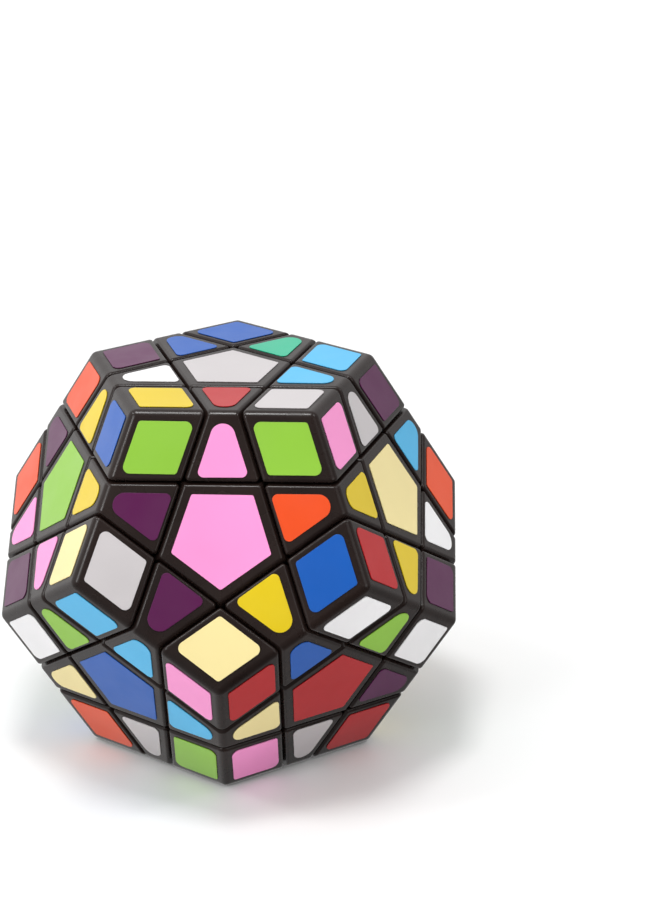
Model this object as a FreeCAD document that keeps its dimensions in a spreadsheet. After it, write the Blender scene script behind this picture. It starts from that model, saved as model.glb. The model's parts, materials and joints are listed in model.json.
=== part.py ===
import FreeCAD, Part
import itertools
import math
import os

App = FreeCAD
V = App.Vector

os.makedirs("parts", exist_ok=True)
doc = App.newDocument("twisty_dodecahedron")

# ---------------------------------------------------------------- dimensions
# Lengths are mm, angles are degrees. Z depths are measured from the centre of
# the puzzle along the axis of one face.
EDGE = 30.0
FACE_DEPTH = EDGE * math.sqrt((25 + 11 * math.sqrt(5)) / 40)
FACE_APOTHEM = EDGE / (2 * math.tan(math.radians(36)))

DIMENSIONS = [
    ("edge_length", EDGE, "edge of the dodecahedron"),
    ("face_depth", round(FACE_DEPTH, 4), "centre to face"),
    ("face_apothem", round(FACE_APOTHEM, 4), "middle of a face to its edge"),
    ("cut_depth", 22.7, "centre to the plane where a layer parts"),
    ("gap_half", 0.15, "clearance on each side of every cut"),
    ("slab_radius", 34.0, "covers a whole layer and nothing past it"),
    ("tool_radius", 70.0, "covers every layer"),
    ("foot_top", 21.8, "sphere under the flanges, over the feet"),
    ("foot_bottom", 17.5, "sphere that the feet slide on"),
    ("neck_angle", 44.0, "half angle of the cone that the necks run on"),
    ("foot_angle", 50.0, "half angle of the cone that the feet run on"),
    ("edge_round", 1.5, "rounding along the dodecahedron's edges"),
    ("rim_round", 0.55, "rounding along the seams and where they cross"),
    ("heart_radius", 31.0, "depth where the rounded block meets the mechanism"),
    ("cap_seat", 31.2, "underside of the pentagon caps"),
    ("cap_ring_bottom", 29.3, "lower end of the ring under a cap"),
    ("cap_ring_radius", 3.15, "outside of that ring"),
    ("cap_ring_bore", 2.4, "inside of that ring"),
    ("well_floor", 19.5, "bottom of the well that holds the spring"),
    ("well_radius", 3.2, "radius of that well"),
    ("shank_hole", 1.6, "hole in the floor of the well"),
    ("core_radius", 11.0, "ball of the core"),
    ("post_radius", 4.0, "the core's twelve posts"),
    ("post_top", 16.6, "end of a post"),
    ("pilot_radius", 1.45, "screw hole in a post"),
    ("pilot_floor", 8.5, "bottom of that hole"),
    ("screw_tip", 9.0, "end of the screw"),
    ("screw_radius", 1.4, "radius of the shank"),
    ("head_bottom", 27.0, "underside of the screw head"),
    ("head_top", 28.8, "top of the screw head"),
    ("head_radius", 2.8, "radius of the screw head"),
    ("slot_width", 0.8, "arms of the cross in the head"),
    ("slot_depth", 1.0, "depth of that cross"),
    ("washer_bottom", 26.5, "underside of the washer"),
    ("washer_radius", 2.9, "outside of the washer"),
    ("washer_bore", 1.6, "inside of the washer"),
    ("spring_radius", 2.3, "middle of the spring wire"),
    ("wire_radius", 0.3, "spring wire"),
    ("spring_pitch", 1.25, "rise of one coil"),
    ("spring_height", 6.35, "coils between the two ends"),
    ("sticker_thick", 0.15, "vinyl sticker"),
    ("margin_rhomb", 1.62, "bare rim round a corner sticker"),
    ("margin_outer", 2.0, "edge sticker to the dodecahedron's edge"),
    ("margin_inner", 1.12, "edge sticker to the centre's seam"),
    ("margin_side", 1.5, "edge sticker to the seams at its sides"),
    ("margin_penta", 1.7, "bare rim round a centre sticker"),
    ("round_sharp", 1.1, "sharp corners of a corner sticker"),
    ("round_blunt", 0.6, "blunt corners of a corner sticker"),
    ("round_narrow", 2.0, "corners at the narrow end of an edge sticker"),
    ("round_wide", 0.9, "corners at its wide end"),
    ("round_penta", 0.4, "corners of a centre sticker"),
]
DIM = {name: value for name, value, note in DIMENSIONS}

sheet = doc.addObject("Spreadsheet::Sheet", "dims")
for row, (name, value, note) in enumerate(DIMENSIONS, start=1):
    sheet.set("A%d" % row, note)
    sheet.set("B%d" % row, str(value))
    sheet.setAlias("B%d" % row, name)
doc.recompute()

# -------------------------------------------------------------------- faces
TILT = math.atan(0.5)


def direction(azimuth, elevation):
    a = math.radians(azimuth)
    flat = math.cos(elevation)
    return V(flat * math.cos(a), flat * math.sin(a), math.sin(elevation))


UPPER = ["front", "right", "rear_right", "rear_left", "left"]
LOWER = ["low_right", "low_rear_right", "low_rear", "low_rear_left", "low_left"]
NORMAL = {"top": V(0, 0, 1), "bottom": V(0, 0, -1)}
for k in range(5):
    NORMAL[UPPER[k]] = direction(-90 + 72 * k, TILT)
    NORMAL[LOWER[k]] = direction(-54 + 72 * k, -TILT)
FACES = ["top"] + UPPER + LOWER + ["bottom"]


def adjacent(a, b):
    return abs(NORMAL[a].dot(NORMAL[b]) - 1 / math.sqrt(5)) < 1e-6


def frame(face, toward):
    """Turns the seed frame (top face, front face) onto two adjacent faces."""
    z_axis = NORMAL[face]
    side = NORMAL[toward] - z_axis * z_axis.dot(NORMAL[toward])
    return App.Rotation(V(0, 0, 0), side * -1, z_axis, "ZYX")


def ring(face):
    """The five faces round one face, counter-clockwise seen from outside."""
    turn = frame(face, next(f for f in FACES if adjacent(face, f)))
    found = []
    for k in range(5):
        aim = turn.multVec(NORMAL[UPPER[k]])
        found.append(max(FACES, key=lambda f: aim.dot(NORMAL[f])))
    return found


EDGES = [p for p in itertools.combinations(FACES, 2) if adjacent(*p)]
CORNERS = []
for face in FACES:
    around = ring(face)
    for k in range(5):
        trio = (face, around[k], around[(k + 1) % 5])
        if face == min(trio, key=FACES.index):
            CORNERS.append(trio)


# ------------------------------------------------------- small CAD vocabulary
def bind(obj, **formulas):
    for prop, formula in formulas.items():
        obj.setExpression(prop.replace("__", "."), formula)
    return obj


def cylinder(name, radius, bottom, top):
    return bind(
        doc.addObject("Part::Cylinder", name),
        Radius=radius,
        Height="(%s) - (%s)" % (top, bottom),
        Placement__Base__z=bottom,
    )


def cone(name, bottom, top, angle, offset):
    radius = "(%s) * tan(%s * 1deg) + (%s) / cos(%s * 1deg)"
    return bind(
        doc.addObject("Part::Cone", name),
        Height="(%s) - (%s)" % (top, bottom),
        Radius1=radius % (bottom, angle, offset, angle),
        Radius2=radius % (top, angle, offset, angle),
        Placement__Base__z=bottom,
    )


def ball(name, radius):
    return bind(doc.addObject("Part::Sphere", name), Radius=radius)


def fuse(name, shapes):
    obj = doc.addObject("Part::MultiFuse", name)
    obj.Shapes = shapes
    return obj


def common(name, shapes):
    obj = doc.addObject("Part::MultiCommon", name)
    obj.Shapes = shapes
    return obj


def cut(name, base, tool):
    obj = doc.addObject("Part::Cut", name)
    obj.Base = base
    obj.Tool = tool
    return obj


def placed(name, seed, rotation):
    obj = doc.addObject("Part::Compound", name)
    obj.Links = [seed]
    obj.Placement = App.Placement(V(0, 0, 0), rotation)
    return obj


def fillet(name, base, radius, picker):
    """Rounds the edges that picker chooses by where they lie."""
    doc.recompute()
    chosen = [k for k, e in enumerate(base.Shape.Edges, start=1) if picker(e)]
    obj = doc.addObject("Part::Fillet", name)
    obj.Base = base
    obj.Edges = [(k, radius, radius) for k in chosen]
    doc.recompute()
    return obj


def middle(edge):
    return edge.valueAt((edge.FirstParameter + edge.LastParameter) / 2)


def outside_faces(point):
    return [f for f in FACES if abs(point.dot(NORMAL[f]) - DIM["face_depth"]) < 1e-4]


def cuts_at(point):
    """How many cut planes a point lies on, on either side of their clearance."""
    gap = DIM["gap_half"]
    depths = [abs(point.dot(NORMAL[f]) - DIM["cut_depth"]) for f in FACES]
    return sum(abs(depth - gap) < 1e-4 for depth in depths)


def is_outer_edge(edge):
    return edge.Length > 2 and len(outside_faces(middle(edge))) == 2


def is_seam_edge(edge):
    """A rim of an outside face, or the line where two cut planes cross."""
    point = middle(edge)
    if edge.Length < 0.05:
        return False
    return cuts_at(point) == 2 or (cuts_at(point) == 1 and is_outside(edge))


def is_outside(edge):
    points = [edge.Vertexes[0].Point, edge.Vertexes[-1].Point]
    if outside_faces(middle(edge)):
        return True
    return all(outside_faces(p) for p in points)


# --------------------------------------------------- the layer as a revolution
# Every cut between pieces is a surface of revolution about a face's axis, so
# each of the twelve layers can turn past all the others at any angle: a plane
# outside, a cone for the necks, a sphere under the flanges and a wider cone
# for the feet.
def layer(tag, sign, radius, top):
    shift = "%d * dims.gap_half" % sign
    plane = "dims.cut_depth - (%s)" % shift
    slab = cylinder("slab_" + tag, radius, plane, top)
    neck = cone("neck_" + tag, "dims.foot_bottom / 2", plane, "dims.neck_angle", shift)
    flare = cone(
        "flare_" + tag, "dims.foot_bottom / 2", "dims.foot_top + 1",
        "dims.foot_angle", shift,
    )
    shell = ball("shell_" + tag, "dims.foot_top + (%s)" % shift)
    foot = common("foot_" + tag, [flare, shell])
    return fuse("layer_" + tag, [slab, neck, foot]), slab


kept_solid, slab_kept = layer("kept", -1, "dims.slab_radius", "dims.face_depth")
hollow = ball("hollow", "dims.foot_bottom + dims.gap_half")
kept = cut("kept_layer", kept_solid, hollow)
tool, slab_tool = layer("tool", 1, "dims.tool_radius", "dims.tool_radius")

TURN = {f: frame(f, ring(f)[0]) for f in FACES}
kept_at = {f: placed("kept_" + f, kept, TURN[f]) for f in ["top", "front", "right"]}
tool_at = {f: placed("tool_" + f, tool, TURN[f]) for f in UPPER}

# ------------------------------------------------------------- the three seeds
slab_at = {f: placed("slab_" + f, slab_kept, TURN[f]) for f in ["top", "front", "right"]}
side_at = {f: placed("side_" + f, slab_tool, TURN[f]) for f in ["right", "left"]}
heart = ball("heart", "dims.heart_radius")


def rounded_block(tag, block):
    """Softens a block's outer edges, then its seams and the lines between them."""
    outer = fillet(tag + "_outer_round", block, DIM["edge_round"], is_outer_edge)
    return fillet(tag + "_seam_round", outer, DIM["rim_round"], is_seam_edge)


corner_block = common("corner_block", [slab_at[f] for f in ["top", "front", "right"]])
corner_head = rounded_block("corner", corner_block)
corner_blank = common("corner_blank", [kept_at[f] for f in ["top", "front", "right"]])
corner_foot = common("corner_foot", [corner_blank, heart])
corner_seed = fuse("corner_seed", [corner_head, corner_foot])

edge_slabs = common("edge_slabs", [slab_at["top"], slab_at["front"]])
edge_sides = fuse("edge_sides", [side_at["right"], side_at["left"]])
edge_block = cut("edge_block", edge_slabs, edge_sides)
edge_tools = fuse("edge_tools", [tool_at["right"], tool_at["left"]])
edge_head = cut("edge_head", rounded_block("edge", edge_block), edge_tools)
edge_pair = common("edge_pair", [kept_at["top"], kept_at["front"]])
edge_blank = cut("edge_blank", edge_pair, edge_tools)
edge_foot = common("edge_foot", [edge_blank, heart])
edge_seed = fuse("edge_seed", [edge_head, edge_foot])

centre_tools = fuse("centre_tools", [tool_at[f] for f in UPPER])
centre_blank = cut("centre_blank", kept, centre_tools)
above_seat = cylinder("above_seat", "dims.slab_radius", "dims.cap_seat", "dims.face_depth + 1")
centre_open = cut("centre_open", centre_blank, above_seat)
well = cylinder("well", "dims.well_radius", "dims.well_floor", "dims.cap_seat + 1")
shank_hole = cylinder("shank_hole", "dims.shank_hole", "dims.foot_bottom - 2", "dims.cap_seat")
centre_bores = fuse("centre_bores", [well, shank_hole])
centre_seed = cut("centre_seed", centre_open, centre_bores)

cap_blank = common("cap_blank", [centre_blank, above_seat])
cap_plate = fillet("cap_plate", cap_blank, DIM["rim_round"], is_seam_edge)
ring_outside = cylinder(
    "ring_outside", "dims.cap_ring_radius", "dims.cap_ring_bottom", "dims.cap_seat + 0.5"
)
ring_inside = cylinder(
    "ring_inside", "dims.cap_ring_bore", "dims.cap_ring_bottom - 1", "dims.cap_seat"
)
cap_whole = fuse("cap_whole", [cap_plate, ring_outside])
cap_seed = cut("cap_seed", cap_whole, ring_inside)

# ------------------------------------------------- screw, washer, spring, core
shank = cylinder("shank", "dims.screw_radius", "dims.screw_tip", "dims.head_bottom + 0.5")
head = cylinder("head", "dims.head_radius", "dims.head_bottom", "dims.head_top")
screw_whole = fuse("screw_whole", [shank, head])
cross_arms = []
for name, across, along in [("arm_x", "Length", "Width"), ("arm_y", "Width", "Length")]:
    arm = doc.addObject("Part::Box", name)
    arm.setExpression(across, "dims.head_radius * 1.3")
    arm.setExpression(along, "dims.slot_width")
    arm.setExpression("Height", "dims.slot_depth + 1")
    arm.setExpression("Placement.Base.x", "-%s.Length / 2" % name)
    arm.setExpression("Placement.Base.y", "-%s.Width / 2" % name)
    arm.setExpression("Placement.Base.z", "dims.head_top - dims.slot_depth")
    cross_arms.append(arm)
cross = fuse("cross", cross_arms)
screw_seed = cut("screw_seed", screw_whole, cross)

washer_disc = cylinder("washer_disc", "dims.washer_radius", "dims.washer_bottom", "dims.head_bottom")
washer_hole = cylinder(
    "washer_hole", "dims.washer_bore", "dims.washer_bottom - 1", "dims.head_bottom + 1"
)
washer_seed = cut("washer_seed", washer_disc, washer_hole)

coil = bind(
    doc.addObject("Part::Helix", "coil"),
    Pitch="dims.spring_pitch",
    Height="dims.spring_height",
    Radius="dims.spring_radius",
)
wire = bind(doc.addObject("Part::Circle", "wire"), Radius="dims.wire_radius")
wire.Placement = App.Placement(V(DIM["spring_radius"], 0, 0), App.Rotation(V(1, 0, 0), 90))
spring_seed = doc.addObject("Part::Sweep", "spring_seed")
spring_seed.Sections = [wire]
doc.recompute()
spring_seed.Spine = (coil, ["Edge%d" % (k + 1) for k in range(len(coil.Shape.Edges))])
spring_seed.Solid = True
spring_seed.Frenet = True
spring_seed.Placement.Base.z = DIM["well_floor"] + DIM["wire_radius"]

post_seed = cylinder("post_seed", "dims.post_radius", "1", "dims.post_top")
pilot_seed = cylinder("pilot_seed", "dims.pilot_radius", "dims.pilot_floor", "dims.post_top + 1")
core_ball = ball("core_ball", "dims.core_radius")
posts = [placed("post_" + f, post_seed, TURN[f]) for f in FACES]
pilots = [placed("pilot_" + f, pilot_seed, TURN[f]) for f in FACES]
core_body = fuse("core_body", [core_ball] + posts)
core = cut("core", core_body, fuse("pilots", pilots))


# ------------------------------------------------------------------- stickers
def sticker(name, points, radii):
    """A padded polygon on top of the top face, with each corner rounded."""
    body = doc.addObject("PartDesign::Body", name)
    body.setExpression("Placement.Base.z", "dims.face_depth")
    sketch = body.newObject("Sketcher::SketchObject", name + "_outline")
    flat = next(o for o in body.Origin.OriginFeatures if o.Role == "XY_Plane")
    sketch.AttachmentSupport = (flat, [""])
    sketch.MapMode = "FlatFace"
    count = len(points)
    for k in range(count):
        start, end = points[k], points[(k + 1) % count]
        sketch.addGeometry(Part.LineSegment(V(*start, 0), V(*end, 0)), False)
    pad = body.newObject("PartDesign::Pad", name + "_pad")
    pad.Profile = sketch
    pad.setExpression("Length", "dims.sticker_thick")
    body.Tip = pad
    doc.recompute()
    last = pad
    for radius in sorted(set(radii)):
        wanted = [V(*p, 0) for p, r in zip(points, radii) if r == radius]
        names = []
        for k, e in enumerate(last.Shape.Edges, start=1):
            ends = [v.Point for v in e.Vertexes]
            if len(ends) == 2 and abs(ends[0].z - ends[1].z) > 0.1:
                foot = V(ends[0].x, ends[0].y, 0)
                if min((foot - w).Length for w in wanted) < 1e-4:
                    names.append("Edge%d" % k)
        rounding = body.newObject("PartDesign::Fillet", "%s_round_%d" % (name, len(names)))
        rounding.Base = (last, names)
        rounding.Radius = radius
        body.Tip = rounding
        doc.recompute()
        last = rounding
    return body


CUT_WIDTH = (DIM["face_depth"] - DIM["cut_depth"]) / (2 / math.sqrt(5))
PENTA_APOTHEM = DIM["face_apothem"] - CUT_WIDTH - DIM["margin_penta"]
PENTA_RADIUS = PENTA_APOTHEM / math.cos(math.radians(36))
penta_points = []
for k in range(5):
    angle = math.radians(-54 + 72 * k)
    penta_points.append((PENTA_RADIUS * math.cos(angle), PENTA_RADIUS * math.sin(angle)))
sticker_centre = sticker("sticker_centre", penta_points, [DIM["round_penta"]] * 5)

# A corner sticker is the rhombus round the vertex between front and right.
vertex_angle = math.radians(-54)
out = V(math.cos(vertex_angle), math.sin(vertex_angle), 0)
across = V(-out.y, out.x, 0)
side = CUT_WIDTH / math.sin(math.radians(72))
rhomb_middle = (
    DIM["face_apothem"] / math.cos(math.radians(36)) - side * math.cos(math.radians(54))
)
sticker_side = side - 2 * DIM["margin_rhomb"] / math.sin(math.radians(72))
half_short = sticker_side * math.cos(math.radians(54))
half_long = sticker_side * math.sin(math.radians(54))
centre_point = out * rhomb_middle
rhomb_points = []
for step in [out * half_short, across * half_long, out * -half_short, across * -half_long]:
    point = centre_point + step
    rhomb_points.append((point.x, point.y))
sticker_corner = sticker(
    "sticker_corner", rhomb_points,
    [DIM["round_blunt"], DIM["round_sharp"], DIM["round_blunt"], DIM["round_sharp"]],
)

# An edge sticker is the trapezoid beside the front edge.
slope = math.tan(math.radians(18))
narrow_width = EDGE - 2 * side


def trapezoid_half(depth):
    """Half width of an edge sticker at a distance from the dodecahedron's edge."""
    return narrow_width / 2 + depth * slope - DIM["margin_side"] / math.cos(math.radians(18))


outer_depth = DIM["margin_outer"]
inner_depth = CUT_WIDTH - DIM["margin_inner"]
y_outer = -(DIM["face_apothem"] - outer_depth)
y_inner = -(DIM["face_apothem"] - inner_depth)
trapezoid_points = [
    (-trapezoid_half(outer_depth), y_outer),
    (trapezoid_half(outer_depth), y_outer),
    (trapezoid_half(inner_depth), y_inner),
    (-trapezoid_half(inner_depth), y_inner),
]
sticker_edge = sticker(
    "sticker_edge", trapezoid_points,
    [DIM["round_narrow"], DIM["round_narrow"], DIM["round_wide"], DIM["round_wide"]],
)

# ------------------------------------------------------------------- assembly
nodes = []


def node(name, members):
    """One named sub-part: copies of a seed, each turned to its own place."""
    obj = doc.addObject("Part::Compound", name)
    obj.Label = name
    obj.Links = members
    nodes.append(obj)
    return obj


def copies(tag, seed, places):
    made = []
    for place in places:
        name = "%s__%s" % (tag, "__".join(place))
        made.append(placed(name, seed, frame(*place[:2])))
    return made


def aimed(face):
    return (face, ring(face)[0])


def owned(pieces, keeper):
    return [p for p in pieces if keeper in p]


TURNING = ["front", "rear_right", "bottom"]
for_all = [aimed(f) for f in FACES]
node("core_spider", [core])
node("core_screws", copies("screw", screw_seed, for_all))
node("core_washers", copies("washer", washer_seed, for_all))
node("core_springs", copies("spring", spring_seed, for_all))


def stickers_of(centres, edges, corners):
    made = copies("sticker_c", sticker_centre, [aimed(f) for f in centres])
    for a, b in edges:
        made += copies("sticker_e", sticker_edge, [(a, b), (b, a)])
    for a, b, c in corners:
        made += copies("sticker_v", sticker_corner, [(a, b, c), (b, c, a), (c, a, b)])
    return made


def sticker_nodes(tag, made):
    """The stickers that the puzzle stands on are a node of their own."""
    under = [s for s in made if s.Name.split("__")[1] == "bottom"]
    if under:
        node(tag + ".stickers.underside", under)
    node(tag + ".stickers", [s for s in made if s not in under])


free_edges = list(EDGES)
free_corners = list(CORNERS)
for face in TURNING:
    my_edges = owned(EDGES, face)
    my_corners = owned(CORNERS, face)
    free_edges = [e for e in free_edges if e not in my_edges]
    free_corners = [c for c in free_corners if c not in my_corners]
    tag = "layer_" + face
    node(tag + ".centre", copies("centre", centre_seed, [aimed(face)]))
    node(tag + ".cap", copies("cap", cap_seed, [aimed(face)]))
    for piece in my_edges:
        node("%s.edge.%s" % (tag, piece[0] if piece[1] == face else piece[1]),
             copies("edge", edge_seed, [piece]))
    for piece in my_corners:
        rest = [f for f in piece if f != face]
        node("%s.corner.%s.%s" % (tag, *rest), copies("corner", corner_seed, [piece]))
    sticker_nodes(tag, stickers_of([face], my_edges, my_corners))

fixed = [f for f in FACES if f not in TURNING]
for name, members in [
    ("rest.centres.top", ["top"]),
    ("rest.centres.upper", [f for f in fixed if f in UPPER]),
    ("rest.centres.lower", [f for f in fixed if f in LOWER]),
]:
    node(name, copies("centre", centre_seed, [aimed(f) for f in members]))
node("rest.caps", copies("cap", cap_seed, [aimed(f) for f in fixed]))
unplaced = list(free_edges)
for group, wanted in [
    ("top", ["top"]),
    ("right", ["right"]),
    ("left", ["left"]),
    ("rear_left", ["rear_left"]),
    ("low", LOWER),
]:
    mine = [e for e in unplaced if set(wanted) & set(e)]
    unplaced = [e for e in unplaced if e not in mine]
    node("rest.edges." + group, copies("edge", edge_seed, mine))
assert not unplaced
for piece in free_corners:
    node("rest.corner.%s.%s.%s" % piece, copies("corner", corner_seed, [piece]))
sticker_nodes("rest", stickers_of(fixed, free_edges, free_corners))
doc.recompute()

# --------------------------------------------------------------- check, export
for obj in doc.Objects:
    assert not {"Invalid", "Error"} & set(obj.State), obj.Name
    if hasattr(obj, "Shape") and obj.TypeId.startswith("Part"):
        assert not obj.Shape.isNull(), obj.Name
        assert obj.Shape.isValid(), obj.Name
for seed in [corner_seed, edge_seed, centre_seed, cap_seed, screw_seed, washer_seed]:
    assert len(seed.Shape.Solids) == 1, seed.Name
for obj in nodes:
    obj.Shape.exportStep(os.path.join("parts", obj.Label + ".step"))
    print(obj.Label, len(obj.Shape.Solids), round(obj.Shape.Volume, 1))
print("nodes", len(nodes), "edges", len(EDGES), "corners", len(CORNERS))
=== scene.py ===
import json
import math
import random

import bmesh
import bpy
from mathutils import Matrix, Quaternion, Vector


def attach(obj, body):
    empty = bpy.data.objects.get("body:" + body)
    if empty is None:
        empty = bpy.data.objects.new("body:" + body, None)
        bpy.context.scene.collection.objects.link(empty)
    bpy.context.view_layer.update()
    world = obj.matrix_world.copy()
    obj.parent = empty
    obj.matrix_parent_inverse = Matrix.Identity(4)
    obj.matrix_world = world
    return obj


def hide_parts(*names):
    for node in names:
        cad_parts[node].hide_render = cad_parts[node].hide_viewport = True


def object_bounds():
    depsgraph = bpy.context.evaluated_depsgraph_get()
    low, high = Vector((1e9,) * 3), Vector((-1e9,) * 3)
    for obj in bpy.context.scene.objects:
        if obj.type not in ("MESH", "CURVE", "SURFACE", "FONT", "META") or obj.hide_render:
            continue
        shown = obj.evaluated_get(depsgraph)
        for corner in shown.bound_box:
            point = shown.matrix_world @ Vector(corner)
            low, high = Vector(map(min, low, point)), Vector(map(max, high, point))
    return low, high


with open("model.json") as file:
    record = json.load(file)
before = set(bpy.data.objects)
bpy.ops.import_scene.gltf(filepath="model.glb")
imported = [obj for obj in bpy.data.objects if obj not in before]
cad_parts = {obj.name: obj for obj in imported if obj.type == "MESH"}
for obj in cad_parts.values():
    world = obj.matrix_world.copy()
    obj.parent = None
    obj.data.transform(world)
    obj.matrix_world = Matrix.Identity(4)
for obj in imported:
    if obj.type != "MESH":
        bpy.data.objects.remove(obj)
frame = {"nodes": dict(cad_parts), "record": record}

CAD_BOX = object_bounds()
MM = 0.001
random.seed(12)

# ------------------------------------------------------------------ geometry
# The same driving sizes as the CAD source, in millimetres.
EDGE = 30.0
FACE_DEPTH = EDGE * math.sqrt((25 + 11 * math.sqrt(5)) / 40)
FACE_APOTHEM = EDGE / (2 * math.tan(math.radians(36)))
CUT_DEPTH = 22.7
CUT_WIDTH = (FACE_DEPTH - CUT_DEPTH) / (2 / math.sqrt(5))
STICKER_THICK = 0.15
# How far the stickers keep from the edges of their pieces, and their corners' radii.
MARGIN_PENTA = 1.7
MARGIN_RHOMB = 1.62
MARGIN_OUTER = 2.0
MARGIN_INNER = 1.12
MARGIN_SIDE = 1.5
ROUND_PENTA = 0.4
ROUND_BLUNT, ROUND_SHARP = 0.6, 1.1
ROUND_NARROW, ROUND_WIDE = 2.0, 0.9

TILT = math.atan(0.5)
UPPER = ["front", "right", "rear_right", "rear_left", "left"]
LOWER = ["low_right", "low_rear_right", "low_rear", "low_rear_left", "low_left"]
FACES = ["top"] + UPPER + LOWER + ["bottom"]


def direction(azimuth, elevation):
    a = math.radians(azimuth)
    flat = math.cos(elevation)
    return Vector((flat * math.cos(a), flat * math.sin(a), math.sin(elevation)))


NORMAL = {"top": Vector((0, 0, 1)), "bottom": Vector((0, 0, -1))}
for k in range(5):
    NORMAL[UPPER[k]] = direction(-90 + 72 * k, TILT)
    NORMAL[LOWER[k]] = direction(-54 + 72 * k, -TILT)


def adjacent(a, b):
    return abs(NORMAL[a].dot(NORMAL[b]) - 1 / math.sqrt(5)) < 1e-6


def facing(face, toward):
    """Matrix whose z is the face's normal and whose -y points to a neighbour."""
    z_axis = NORMAL[face]
    side = NORMAL[toward] - z_axis * z_axis.dot(NORMAL[toward])
    y_axis = -side.normalized()
    x_axis = y_axis.cross(z_axis)
    return Matrix((x_axis, y_axis, z_axis)).transposed()


def ring(face):
    """The five neighbours of a face, counter-clockwise seen from outside."""
    turn = facing(face, next(f for f in FACES if adjacent(face, f)))
    aims = [turn @ NORMAL[UPPER[k]] for k in range(5)]
    return [max(FACES, key=lambda f: aim.dot(NORMAL[f])) for aim in aims]


# ----------------------------------------------------------------- materials
def principled(name, color, roughness):
    mat = bpy.data.materials.new(name)
    mat.use_nodes = True
    shader = mat.node_tree.nodes["Principled BSDF"]
    shader.inputs["Base Color"].default_value = (*color, 1)
    shader.inputs["Roughness"].default_value = roughness
    return mat, mat.node_tree, shader


def noise(tree, scale, detail, coords):
    node = tree.nodes.new("ShaderNodeTexNoise")
    node.inputs["Scale"].default_value = scale
    node.inputs["Detail"].default_value = detail
    tree.links.new(coords, node.inputs["Vector"])
    return node.outputs["Fac"]


def map_range(tree, value, inputs, outputs):
    """Maps one range of a value to another, each given by its two ends."""
    node = tree.nodes.new("ShaderNodeMapRange")
    ends = {
        "From Min": inputs[0], "From Max": inputs[1],
        "To Min": outputs[0], "To Max": outputs[1],
    }
    for socket, end in ends.items():
        node.inputs[socket].default_value = end
    tree.links.new(value, node.inputs["Value"])
    return node.outputs["Result"]


def spread(tree, value, low, high):
    """Stretches the middle of a noise to the range from low to high."""
    return map_range(tree, value, (0.3, 0.7), (low, high))


def uneven_gloss(tree, shader, value, low, high):
    tree.links.new(spread(tree, value, low, high), shader.inputs["Roughness"])


def bump(tree, shader, height, distance, strength):
    node = tree.nodes.new("ShaderNodeBump")
    node.inputs["Strength"].default_value = strength
    node.inputs["Distance"].default_value = distance
    tree.links.new(height, node.inputs["Height"])
    tree.links.new(node.outputs["Normal"], shader.inputs["Normal"])


def tint(tree, shader, value, dark, light):
    """Base colour from dark to light by a value from 0 to 1."""
    mix = tree.nodes.new("ShaderNodeMix")
    mix.data_type = "RGBA"
    mix.inputs["A"].default_value = (*dark, 1)
    mix.inputs["B"].default_value = (*light, 1)
    tree.links.new(value, mix.inputs["Factor"])
    tree.links.new(mix.outputs["Result"], shader.inputs["Base Color"])


def object_coords(tree):
    return tree.nodes.new("ShaderNodeTexCoord").outputs["Object"]


def black_plastic():
    """Moulded black plastic: satin, faintly mottled, with a fine moulding grain."""
    mat, tree, shader = principled("black_plastic", (0.014, 0.009, 0.008), 0.28)
    shader.inputs["Specular IOR Level"].default_value = 0.33
    coords = object_coords(tree)
    broad = noise(tree, 70, 3, coords)
    mottle = spread(tree, broad, 0, 1)
    tint(tree, shader, mottle, (0.011, 0.006, 0.005), (0.019, 0.011, 0.009))
    uneven_gloss(tree, shader, noise(tree, 220, 4, coords), 0.22, 0.32)
    bump(tree, shader, noise(tree, 7000, 2, coords), 0.00001, 0.2)
    return mat


def metal(name, color, roughness, grain):
    mat, tree, shader = principled(name, color, roughness)
    shader.inputs["Metallic"].default_value = 1
    coords = object_coords(tree)
    grainy = noise(tree, grain, 4, coords)
    uneven_gloss(tree, shader, grainy, roughness * 0.8, roughness * 1.4)
    return mat


def linear(level):
    """The linear value of an 8 bit sRGB level."""
    share = level / 255
    return share / 12.92 if share < 0.04045 else ((share + 0.055) / 1.055) ** 2.4


def srgb(*levels):
    return tuple(linear(level) for level in levels)


VINYL = {
    "pink": srgb(249, 150, 208),
    "lime": srgb(138, 191, 58),
    "purple": srgb(83, 7, 70),
    "orange": srgb(227, 76, 26),
    "yellow": srgb(218, 190, 10),
    "blue": srgb(10, 86, 175),
    "cream": srgb(239, 222, 158),
    "grey": srgb(195, 190, 191),
    "white": srgb(238, 237, 238),
    "sky": srgb(73, 178, 226),
    "red": srgb(178, 8, 18),
    "teal": srgb(18, 176, 136),
}


def vinyl(name, color):
    """Glossy vinyl film with a faint orange peel and slightly uneven ink."""
    mat, tree, shader = principled("vinyl_" + name, color, 0.33)
    coords = object_coords(tree)
    patchy = spread(tree, noise(tree, 45, 2, coords), 0, 1)
    thin_ink = tuple(c * 0.93 for c in color)
    full_ink = tuple(min(1, c * 1.03) for c in color)
    tint(tree, shader, patchy, thin_ink, full_ink)
    uneven_gloss(tree, shader, noise(tree, 160, 3, coords), 0.28, 0.4)
    bump(tree, shader, noise(tree, 900, 2, coords), 0.00003, 0.25)
    return mat


plastic = black_plastic()
inks = {name: vinyl(name, color) for name, color in VINYL.items()}
zinc = metal("zinc_screws", (0.72, 0.71, 0.68), 0.28, 400)
steel = metal("spring_steel", (0.48, 0.48, 0.5), 0.3, 900)
BY_SLOT = {
    "black_plastic": plastic,
    "core_plastic": plastic,
    "zinc_screws": zinc,
    "spring_steel": steel,
}
for part in frame["record"]["subparts"]:
    finish = BY_SLOT.get(part["material_slot"])
    if finish:
        obj = frame["nodes"][part["node"]]
        obj.data.materials.clear()
        obj.data.materials.append(finish)

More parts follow.
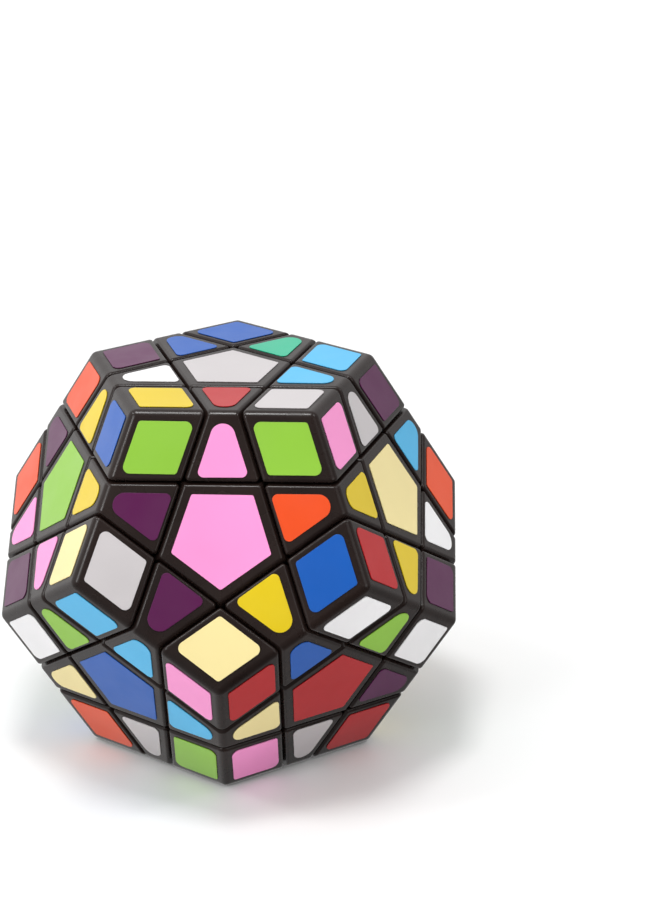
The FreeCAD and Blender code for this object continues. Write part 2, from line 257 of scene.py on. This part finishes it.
# ------------------------------------------------------------------ stickers
# The scramble: what each face shows at its centre, then on the corner piece
# shared with each pair of neighbours and the edge piece shared with each one.
SCRAMBLE = {
    "front": ("pink", {
        "top": "pink", "right": "orange", "low_right": "yellow",
        "low_left": "purple", "left": "purple",
        "top right": "lime", "right low_right": "blue", "low_right low_left": "cream",
        "low_left left": "grey", "left top": "lime",
    }),
    "top": ("grey", {
        "front": "red", "right": "sky", "rear_right": "teal", "rear_left": "blue",
        "left": "white",
        "front right": "grey", "right rear_right": "sky", "rear_right rear_left": "blue",
        "rear_left left": "purple", "left front": "yellow",
    }),
    "right": ("cream", {
        "front": "yellow", "top": "grey", "rear_right": "sky", "low_rear_right": "white",
        "low_right": "yellow",
        "front top": "pink", "top rear_right": "purple", "rear_right low_rear_right": "orange",
        "low_rear_right low_right": "purple", "low_right front": "red",
    }),
    "left": ("lime", {
        "top": "yellow", "front": "yellow", "low_left": "pink", "low_rear_left": "pink",
        "rear_left": "purple",
        "top front": "blue", "front low_left": "cream", "low_left low_rear_left": "purple",
        "low_rear_left rear_left": "orange", "rear_left top": "orange",
    }),
    "low_left": ("blue", {
        "left": "lime", "front": "sky", "low_right": "sky", "bottom": "grey",
        "low_rear_left": "cream",
        "low_rear_left left": "white", "left front": "sky", "front low_right": "pink",
        "low_right bottom": "lime", "bottom low_rear_left": "orange",
    }),
    "low_right": ("red", {
        "front": "blue", "low_left": "cream", "bottom": "grey", "low_rear_right": "purple",
        "right": "lime",
        "front low_left": "red", "low_left bottom": "pink", "bottom low_rear_right": "red",
        "low_rear_right right": "white", "right front": "white",
    }),
    "rear_right": ("orange", {}),
    "rear_left": ("yellow", {}),
    "low_rear_right": ("purple", {}),
    "low_rear": ("sky", {}),
    "low_rear_left": ("teal", {}),
    "bottom": ("white", {}),
}
TURNING = ["front", "rear_right", "bottom"]


def seen_color(face, key):
    shown = SCRAMBLE[face][1]
    if key in shown:
        return shown[key]
    return shown.get(" ".join(reversed(key.split())))


# Every colour is on eleven stickers, five of them on edges and five on
# corners, so the hidden stickers take what the visible ones leave over.
def deal(keys_of):
    left_over = [c for c in VINYL for _ in range(5)]
    blank = []
    for face in FACES:
        for key in keys_of(face):
            color = seen_color(face, key)
            if color is None:
                blank.append((face, key))
            elif color in left_over:
                left_over.remove(color)
    random.shuffle(left_over)
    for face, key in blank:
        SCRAMBLE[face][1][key] = left_over.pop()


def corner_keys(face):
    around = ring(face)
    return ["%s %s" % (around[k], around[(k + 1) % 5]) for k in range(5)]


deal(ring)
deal(corner_keys)


def rounded(points, radii, steps):
    """Outline of a polygon with each corner replaced by an arc."""
    outline = []
    count = len(points)
    for k in range(count):
        here = Vector(points[k])
        to_last = (Vector(points[k - 1]) - here).normalized()
        to_next = (Vector(points[(k + 1) % count]) - here).normalized()
        half = to_last.angle(to_next) / 2
        radius = radii[k]
        middle = here + (to_last + to_next).normalized() * radius / math.sin(half)
        start = here + to_last * radius / math.tan(half) - middle
        end = here + to_next * radius / math.tan(half) - middle
        sweep = start.angle_signed(end)
        for step in range(steps + 1):
            turn = Matrix.Rotation(-sweep * step / steps, 2)
            outline.append(middle + turn @ start)
    return outline


PENTA = (FACE_APOTHEM - CUT_WIDTH - MARGIN_PENTA) / math.cos(math.radians(36))
penta_points = []
for k in range(5):
    angle = math.radians(-54 + 72 * k)
    penta_points.append((PENTA * math.cos(angle), PENTA * math.sin(angle)))
SIDE = CUT_WIDTH / math.sin(math.radians(72))
rhomb_side = SIDE - 2 * MARGIN_RHOMB / math.sin(math.radians(72))
half_short = rhomb_side * math.cos(math.radians(54))
half_long = rhomb_side * math.sin(math.radians(54))
RHOMB_MIDDLE = FACE_APOTHEM / math.cos(math.radians(36)) - SIDE * math.cos(math.radians(54))
vertex_way = Vector((math.cos(math.radians(-54)), math.sin(math.radians(-54))))
cross_way = Vector((-vertex_way.y, vertex_way.x))
rhomb_points = [
    vertex_way * (RHOMB_MIDDLE + half_short),
    vertex_way * RHOMB_MIDDLE + cross_way * half_long,
    vertex_way * (RHOMB_MIDDLE - half_short),
    vertex_way * RHOMB_MIDDLE - cross_way * half_long,
]
OUTER_DEPTH = MARGIN_OUTER
INNER_DEPTH = CUT_WIDTH - MARGIN_INNER


def trapezoid_half(depth):
    """Half width of an edge sticker at a distance from the dodecahedron's edge."""
    width = (EDGE - 2 * SIDE) / 2 + depth * math.tan(math.radians(18))
    return width - MARGIN_SIDE / math.cos(math.radians(18))


trapezoid_points = [
    (-trapezoid_half(OUTER_DEPTH), OUTER_DEPTH - FACE_APOTHEM),
    (trapezoid_half(OUTER_DEPTH), OUTER_DEPTH - FACE_APOTHEM),
    (trapezoid_half(INNER_DEPTH), INNER_DEPTH - FACE_APOTHEM),
    (-trapezoid_half(INNER_DEPTH), INNER_DEPTH - FACE_APOTHEM),
]
OUTLINES = {
    "centre": rounded(penta_points, [ROUND_PENTA] * 5, 5),
    "corner": rounded(rhomb_points, [ROUND_BLUNT, ROUND_SHARP] * 2, 8),
    "edge": rounded(trapezoid_points, [ROUND_NARROW] * 2 + [ROUND_WIDE] * 2, 10),
}


# How far a sticker lies off its place, in millimetres and degrees, and the
# section of its softened edge as insets and heights.
MOST_SLIP = 0.06
MOST_TWIST = 0.5
SOFTENED_EDGE = [
    (0, 0),
    (0, STICKER_THICK - 0.05),
    (0.015, STICKER_THICK - 0.015),
    (0.05, STICKER_THICK),
]


def either_way(most):
    return random.uniform(-most, most)


def add_sticker(bm, shape, turn, material_index):
    """One vinyl sticker, a film with softened edges, pressed on by hand."""
    outline = OUTLINES[shape]
    middle = sum(outline, Vector((0, 0))) / len(outline)
    slip = Vector((either_way(MOST_SLIP), either_way(MOST_SLIP)))
    twist = Matrix.Rotation(math.radians(either_way(MOST_TWIST)), 2)
    rows = []
    for inset, height in SOFTENED_EDGE:
        row = []
        for point in outline:
            arm = point - middle
            flat = middle + slip + twist @ (arm - arm.normalized() * inset)
            spot = turn @ Vector((flat.x, flat.y, FACE_DEPTH + height))
            row.append(bm.verts.new(spot * MM))
        rows.append(row)
    count = len(outline)
    made = []
    for low, high in zip(rows, rows[1:]):
        for k in range(count):
            n = (k + 1) % count
            made.append(bm.faces.new((low[k], low[n], high[n], high[k])))
    made.append(bm.faces.new(rows[-1]))
    made.append(bm.faces.new(list(reversed(rows[0]))))
    for face in made:
        face.material_index = material_index
        face.smooth = len(face.verts) == 4


def body_of(*faces):
    for keeper in TURNING:
        if keeper in faces:
            return "layer_" + keeper
    return "rest"


sheets = {}
color_names = list(VINYL)


def stick(body, shape, turn, color):
    if body not in sheets:
        sheets[body] = bmesh.new()
    add_sticker(sheets[body], shape, turn, color_names.index(color))


for face in FACES:
    around = ring(face)
    stick(body_of(face), "centre", facing(face, around[0]), SCRAMBLE[face][0])
    for k in range(5):
        side, after = around[k], around[(k + 1) % 5]
        stick(body_of(face, side), "edge", facing(face, side), seen_color(face, side))
        stick(body_of(face, side, after), "corner", facing(face, side),
              seen_color(face, "%s %s" % (side, after)))

for body, bm in sheets.items():
    mesh = bpy.data.meshes.new("stickers_" + body)
    bm.to_mesh(mesh)
    bm.free()
    for name in color_names:
        mesh.materials.append(inks[name])
    piece = bpy.data.objects.new("stickers_" + body, mesh)
    bpy.context.scene.collection.objects.link(piece)
    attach(piece, body)
    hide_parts(body + ".stickers")
    if body == "layer_bottom":
        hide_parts(body + ".stickers.underside")

# --------------------------------------------------------- floor, lights, eye
floor_z = CAD_BOX[0][2]
UNDER_STICKERS = 0.00002
bpy.ops.mesh.primitive_plane_add(size=16, location=(0, 0, floor_z - UNDER_STICKERS))
floor = bpy.context.object
floor.name = "floor"
floor_mat, floor_tree, floor_shader = principled("floor_paper", (0.88, 0.88, 0.88), 0.6)
floor_shader.inputs["Emission Color"].default_value = (1, 1, 1, 1)
# Painted light: the paper glows, faintly near the puzzle and more away from it, so it stays
# white beyond the lamps.
from_puzzle = floor_tree.nodes.new("ShaderNodeVectorMath")
from_puzzle.operation = "LENGTH"
floor_tree.links.new(object_coords(floor_tree), from_puzzle.inputs[0])
painted_floor_light = map_range(floor_tree, from_puzzle.outputs["Value"], (0.2, 1.2), (0.05, 0.75))
floor_tree.links.new(painted_floor_light, floor_shader.inputs["Emission Strength"])
floor.data.materials.append(floor_mat)
# Faces that look down reflect the studio, not the floor.
floor.visible_glossy = False

bpy.context.scene.view_settings.view_transform = "Standard"
world = bpy.data.worlds.new("studio")
bpy.context.scene.world = world
world.use_nodes = True
sky = world.node_tree
backdrop = sky.nodes["Background"]
backdrop.inputs["Color"].default_value = (1, 1, 1, 1)
# A pale studio whose brightest walls are behind the puzzle, to its left.
BRIGHT_SIDE = Vector((-0.6, 0.7, 0.2)).normalized()
BRIGHTEST = 1.12
looking = sky.nodes.new("ShaderNodeTexCoord").outputs["Generated"]
along = sky.nodes.new("ShaderNodeVectorMath")
along.operation = "DOT_PRODUCT"
along.inputs[1].default_value = BRIGHT_SIDE
sky.links.new(looking, along.inputs[0])
glow = map_range(sky, along.outputs["Value"], (-1, 1), (0, BRIGHTEST))
sky.links.new(glow, backdrop.inputs["Strength"])


def softbox(name, place, width, power):
    """A square lamp that looks at the puzzle, in metres and watts."""
    data = bpy.data.lights.new(name, "AREA")
    data.shape = "SQUARE"
    data.size = width
    data.energy = power
    lamp = bpy.data.objects.new(name, data)
    lamp.location = place
    lamp.rotation_euler = (-Vector(place)).to_track_quat("-Z", "Y").to_euler()
    bpy.context.scene.collection.objects.link(lamp)


softbox("overhead", (-0.05, -0.12, 0.75), 0.18, 2.25)
softbox("upper_left", (-0.46, -0.12, 0.64), 0.14, 0.95)
softbox("upper_right", (0.46, -0.12, 0.64), 0.14, 0.7)
softbox("key", (-0.5, -0.65, 0.5), 0.2, 1.65)
softbox("fill", (0.7, -0.6, 0.3), 0.5, 1.55)

# Where the eye stands round the puzzle, its tilt, and how far the puzzle is
# off the middle of the view, in degrees; the distance is in metres, and the
# lens in millimetres.
AZIMUTH, ELEVATION, ROLL, DISTANCE = 3.316, 23.731, -0.652, 0.5093
LEFT_OF_AIM, BELOW_AIM = 1.9284, 1.9186
LENS, SENSOR = 116.54, 36
az, elv = math.radians(AZIMUTH), math.radians(ELEVATION)
back = Vector((math.sin(az) * math.cos(elv), -math.cos(az) * math.cos(elv), math.sin(elv)))
across = Vector((0, 0, 1)).cross(back).normalized()
upward = back.cross(across)
straight = Matrix((across, upward, back)).transposed().to_quaternion()
roll = Quaternion((0, 0, 1), math.radians(ROLL))
left_of, below = (math.tan(math.radians(a)) for a in (LEFT_OF_AIM, BELOW_AIM))
off_aim = Vector((-left_of, -below, -1))
lean = Vector((0, 0, -1)).rotation_difference(off_aim)
eye_data = bpy.data.cameras.new("eye")
eye_data.sensor_fit = "VERTICAL"
eye_data.sensor_height = SENSOR
eye_data.lens = LENS
eye = bpy.data.objects.new("eye", eye_data)
eye.rotation_mode = "QUATERNION"
eye.rotation_quaternion = straight @ roll @ lean.inverted()
eye.location = back * DISTANCE
bpy.context.scene.collection.objects.link(eye)
bpy.context.scene.camera = eye
